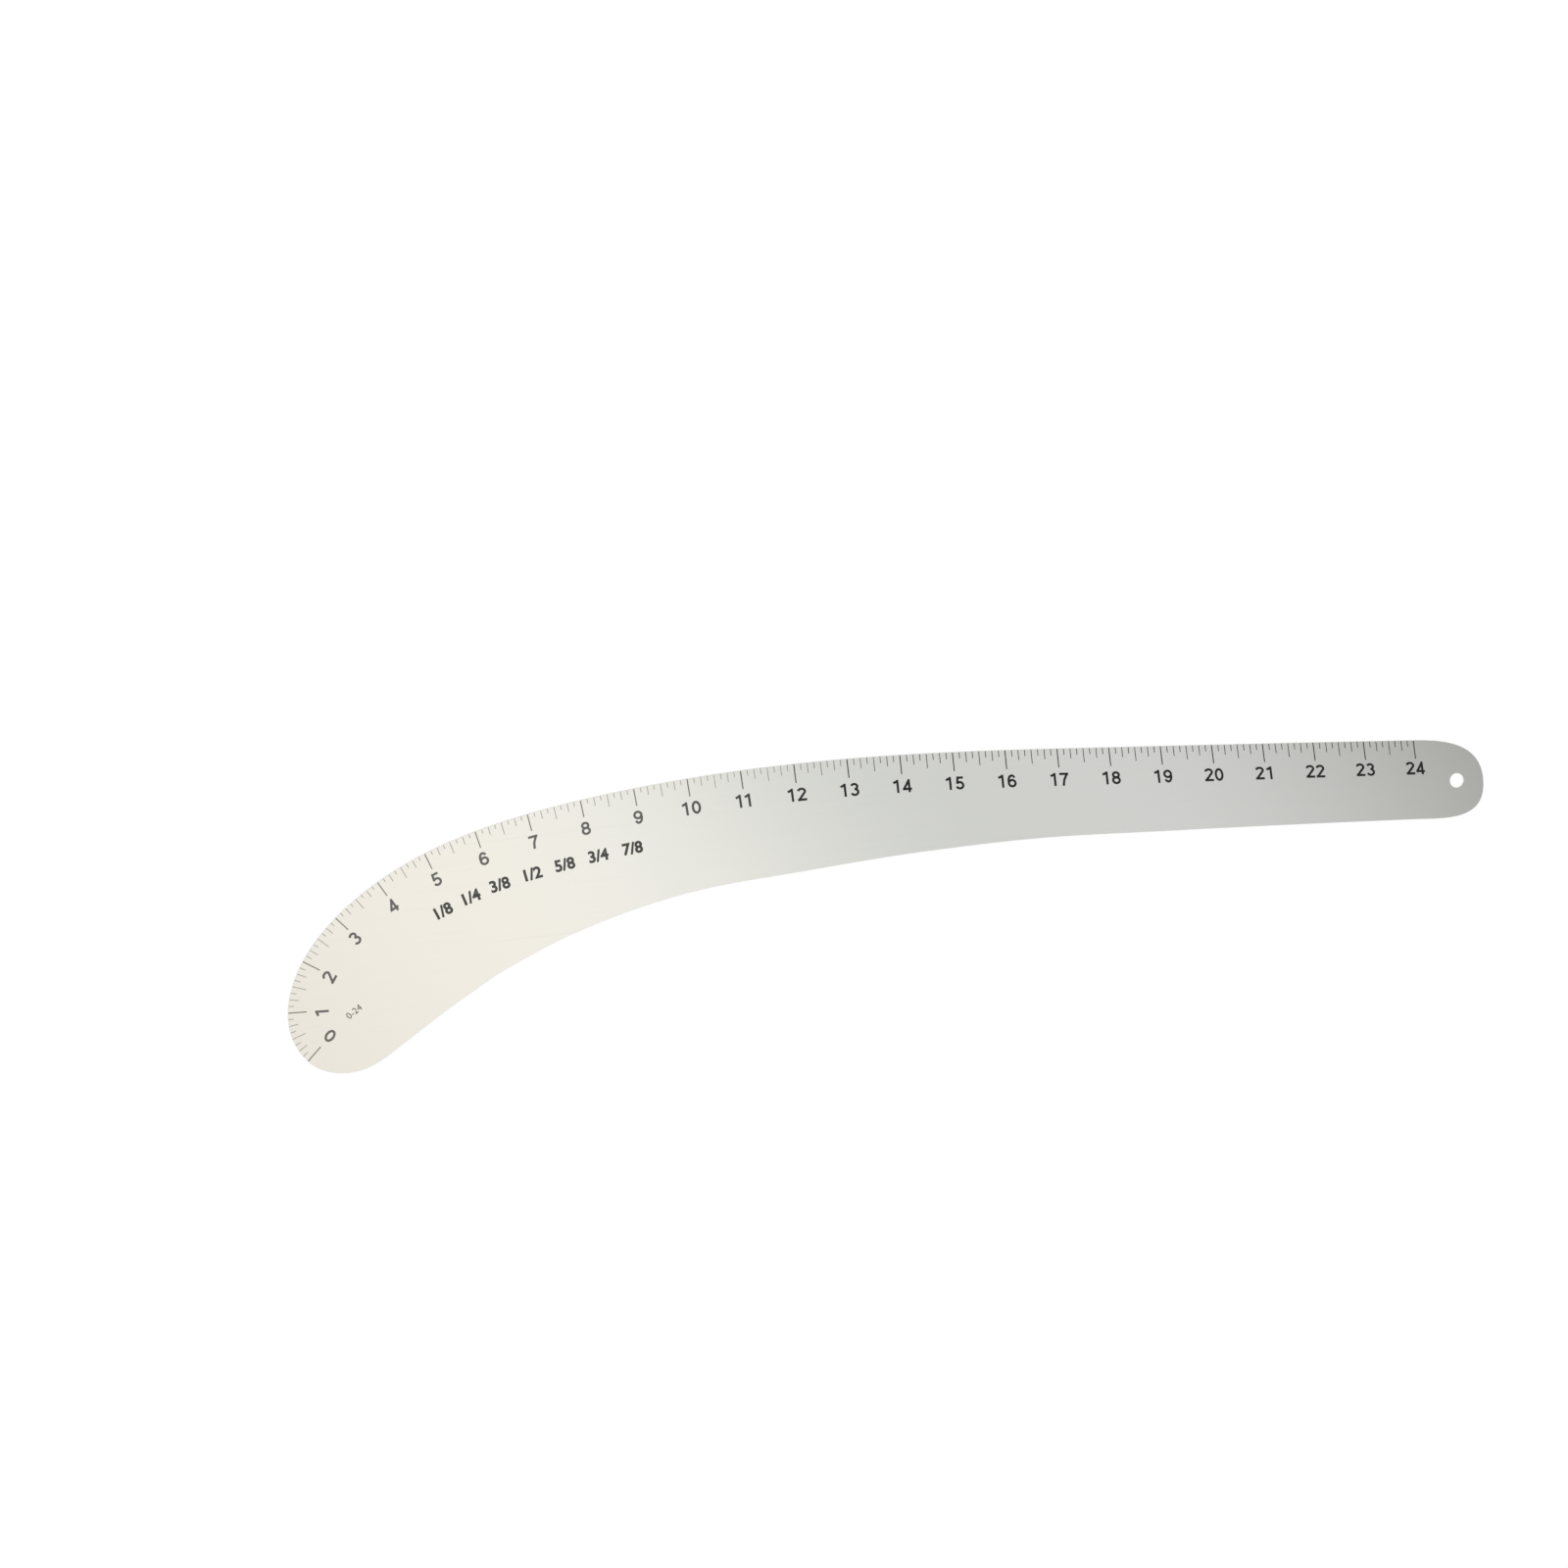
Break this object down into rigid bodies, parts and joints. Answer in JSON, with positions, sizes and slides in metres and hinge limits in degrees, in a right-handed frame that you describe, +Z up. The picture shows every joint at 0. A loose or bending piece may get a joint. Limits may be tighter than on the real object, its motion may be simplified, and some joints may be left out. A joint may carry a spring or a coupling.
{
  "type": "french curve ruler",
  "caption": "Flat aluminium curve ruler for garment drafting, with a graduated outer edge, a round head, a tapering tail and a hanging hole.",
  "frame": {"origin": "under the middle of the outline's bounding box, on the underside that lies on the table", "axes": "+X from the round head towards the tail with the hanging hole, +Y towards the graduated edge, +Z up out of the marked face"},
  "size_m": [0.5852, 0.12, 0.0012],
  "materials": {
    "blade": "satin, with etched and ink-filled marks"
  },
  "bodies": {
    "root": {"ruler_blade": "blade"}
  },
  "joints": []
}
